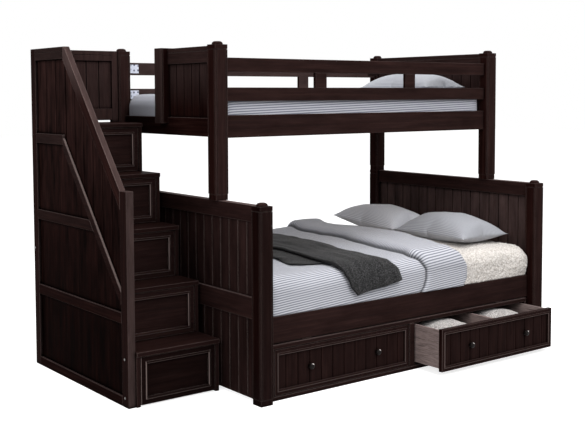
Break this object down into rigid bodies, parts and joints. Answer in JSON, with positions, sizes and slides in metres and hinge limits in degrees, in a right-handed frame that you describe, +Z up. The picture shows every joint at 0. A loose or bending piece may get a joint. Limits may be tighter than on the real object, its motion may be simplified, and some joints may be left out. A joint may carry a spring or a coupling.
{
  "type": "bunk bed with stairs",
  "caption": "Wooden twin-over-full bunk bed with drawer stairs at the foot, beadboard ends, a wide underbed drawer unit and made-up bedding.",
  "frame": {"origin": "middle of the footprint on the floor, with the right underbed drawer part open", "axes": "+X from the stairs to the headboard, +Y from the front to the wall side, +Z up"},
  "size_m": [2.593, 1.6441, 1.7632],
  "materials": {
    "espresso_wood": "satin",
    "drawer_wood": "matte",
    "slat_wood": "matte",
    "dark_bronze": "satin",
    "white_steel": "satin",
    "bolt_steel": "satin",
    "mattress_ticking": "matte",
    "striped_cotton": "matte",
    "cream_fleece": "matte",
    "charcoal_knit": "matte",
    "pillow_cotton": "matte",
    "white_fleece": "matte"
  },
  "bodies": {
    "frame": {"lower_post_foot_front": "espresso_wood", "lower_post_foot_back": "espresso_wood", "lower_post_head_front": "espresso_wood", "lower_post_head_back": "espresso_wood", "footboard_rails": "espresso_wood", "footboard_panels": "espresso_wood", "headboard_rails": "espresso_wood", "headboard_panels": "espresso_wood", "lower_side_rail_front": "espresso_wood", "lower_side_rail_back": "espresso_wood", "upper_post_foot_front": "espresso_wood", "upper_post_foot_back": "espresso_wood", "upper_post_head_front": "espresso_wood", "upper_post_head_back": "espresso_wood", "entry_post": "espresso_wood", "loft_foot_rails": "espresso_wood", "loft_foot_panel": "espresso_wood", "loft_head_rails": "espresso_wood", "loft_head_panel": "espresso_wood", "loft_side_rail_front": "espresso_wood", "loft_side_rail_back": "espresso_wood", "front_guard": "espresso_wood", "back_guard": "espresso_wood", "post_caps": "espresso_wood", "stair_side_stiles": "espresso_wood", "stair_side_rails": "espresso_wood", "stair_handrail": "espresso_wood", "stair_side_panels": "espresso_wood", "stair_step_sides": "espresso_wood", "stair_treads": "espresso_wood", "stair_back_guard": "espresso_wood", "stair_back_panel": "espresso_wood", "underbed_case": "espresso_wood", "lower_slats": "slat_wood", "loft_slats": "slat_wood", "slat_supports": "slat_wood", "guard_brackets": "white_steel", "steel_fasteners": "bolt_steel", "lower_mattress": "mattress_ticking", "upper_mattress": "striped_cotton", "duvet": "striped_cotton", "fleece_cover": "cream_fleece", "throw_blanket": "charcoal_knit", "pillow_far": "pillow_cotton", "pillow_near": "pillow_cotton", "upper_pillow": "pillow_cotton"},
    "step_drawer_1": {"stair_drawer_1": "espresso_wood"},
    "step_drawer_2": {"stair_drawer_2": "espresso_wood"},
    "step_drawer_3": {"stair_drawer_3": "espresso_wood"},
    "step_drawer_4": {"stair_drawer_4": "espresso_wood"},
    "step_drawer_5": {"stair_drawer_5": "espresso_wood"},
    "bed_drawer_left": {"underbed_left_front": "espresso_wood", "underbed_left_box": "drawer_wood", "underbed_left_knobs": "dark_bronze"},
    "bed_drawer_right": {"underbed_right_front": "espresso_wood", "underbed_right_box": "drawer_wood", "underbed_right_knobs": "dark_bronze", "drawer_blankets": "white_fleece"}
  },
  "joints": [
    {"name": "step_drawer_1_slide", "type": "slide", "parent": "frame", "child": "step_drawer_1", "axis": [0, -1, 0], "range_m": [0, 0.2]},
    {"name": "step_drawer_2_slide", "type": "slide", "parent": "frame", "child": "step_drawer_2", "axis": [0, -1, 0], "range_m": [0, 0.2]},
    {"name": "step_drawer_3_slide", "type": "slide", "parent": "frame", "child": "step_drawer_3", "axis": [0, -1, 0], "range_m": [0, 0.2]},
    {"name": "step_drawer_4_slide", "type": "slide", "parent": "frame", "child": "step_drawer_4", "axis": [0, -1, 0], "range_m": [0, 0.2]},
    {"name": "step_drawer_5_slide", "type": "slide", "parent": "frame", "child": "step_drawer_5", "axis": [0, -1, 0], "range_m": [0, 0.2]},
    {"name": "bed_drawer_left_slide", "type": "slide", "parent": "frame", "child": "bed_drawer_left", "axis": [0, -1, 0], "range_m": [0, 0.4]},
    {"name": "bed_drawer_right_slide", "type": "slide", "parent": "frame", "child": "bed_drawer_right", "axis": [0, -1, 0], "range_m": [-0.204, 0.196]}
  ]
}
